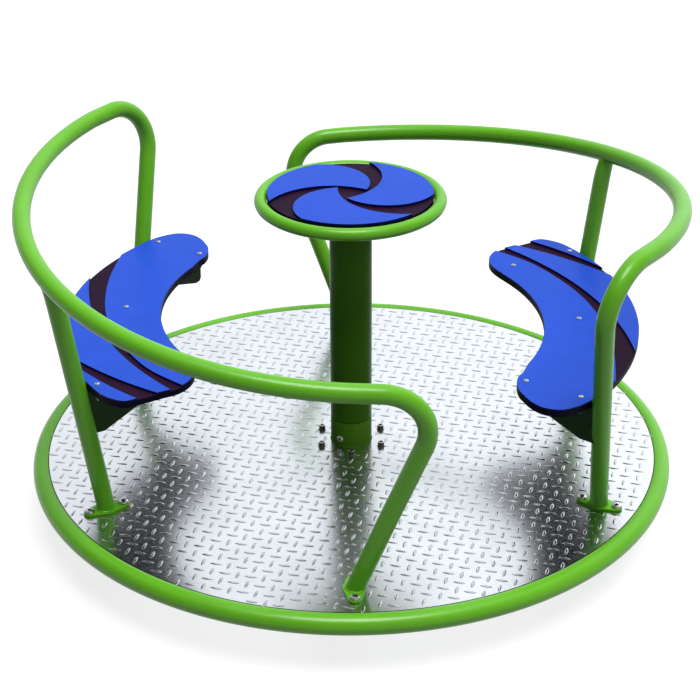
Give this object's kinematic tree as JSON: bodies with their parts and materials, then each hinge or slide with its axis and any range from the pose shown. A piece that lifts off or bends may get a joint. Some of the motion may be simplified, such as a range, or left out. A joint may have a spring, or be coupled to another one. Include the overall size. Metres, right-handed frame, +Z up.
{
  "type": "playground roundabout",
  "caption": "Round turning platform with a chequer-plate deck, bent tube hand rails, curved bench seats and a round table on a fixed middle column.",
  "frame": {"origin": "on the turning axis, at the underside of the ground foot, which is ground level", "axes": "+Z up along the turning axis; -Y towards the picture's camera; +X to the right as the picture sees it, with one seat and rail set on each side"},
  "size_m": [1.5784, 1.5784, 0.8591],
  "materials": {
    "green_paint": "glossy lime green powder coat",
    "dark_green_paint": "dark green powder coat",
    "deck_plate": "bare bright chequer plate with raised bars",
    "blue_board": "blue skin of a two-colour polyethylene board",
    "dark_board": "dark maroon core of a two-colour polyethylene board",
    "bolt_steel": "plain steel bolt heads",
    "foot_steel": "dull hot-dip zinc"
  },
  "bodies": {
    "base": {"ground_foot": "foot_steel", "column": "green_paint", "table_plate": "dark_green_paint", "table_ring": "green_paint", "table_core": "dark_board", "table_blade_1": "blue_board", "table_blade_2": "blue_board", "table_blade_3": "blue_board"},
    "platform": {"rim": "green_paint", "deck": "deck_plate", "hub": "green_paint", "arm_1": "dark_green_paint", "arm_2": "dark_green_paint", "arm_3": "dark_green_paint", "arm_4": "dark_green_paint", "arm_5": "dark_green_paint", "arm_6": "dark_green_paint", "foot_flange_1": "green_paint", "foot_flange_2": "green_paint", "foot_flange_3": "green_paint", "foot_flange_4": "green_paint", "foot_flange_5": "green_paint", "foot_flange_6": "green_paint", "hub_bolt_1": "bolt_steel", "hub_bolt_2": "bolt_steel", "hub_bolt_3": "bolt_steel", "hub_bolt_4": "bolt_steel", "hub_bolt_5": "bolt_steel", "hub_bolt_6": "bolt_steel", "rail_right": "green_paint", "post_right": "green_paint", "seat_core_right": "dark_board", "seat_blade_right_inner": "blue_board", "seat_blade_right_middle": "blue_board", "seat_blade_right_outer": "blue_board", "seat_bracket_right_post": "dark_green_paint", "seat_bracket_right_leg": "dark_green_paint", "rail_left": "green_paint", "post_left": "green_paint", "seat_core_left": "dark_board", "seat_blade_left_inner": "blue_board", "seat_blade_left_middle": "blue_board", "seat_blade_left_outer": "blue_board", "seat_bracket_left_post": "dark_green_paint", "seat_bracket_left_leg": "dark_green_paint"}
  },
  "joints": [
    {"name": "platform_spin", "type": "hinge", "parent": "base", "child": "platform", "pos_m": [0, 0, 0.12], "axis": [0, 0, 1], "continuous": true}
  ]
}
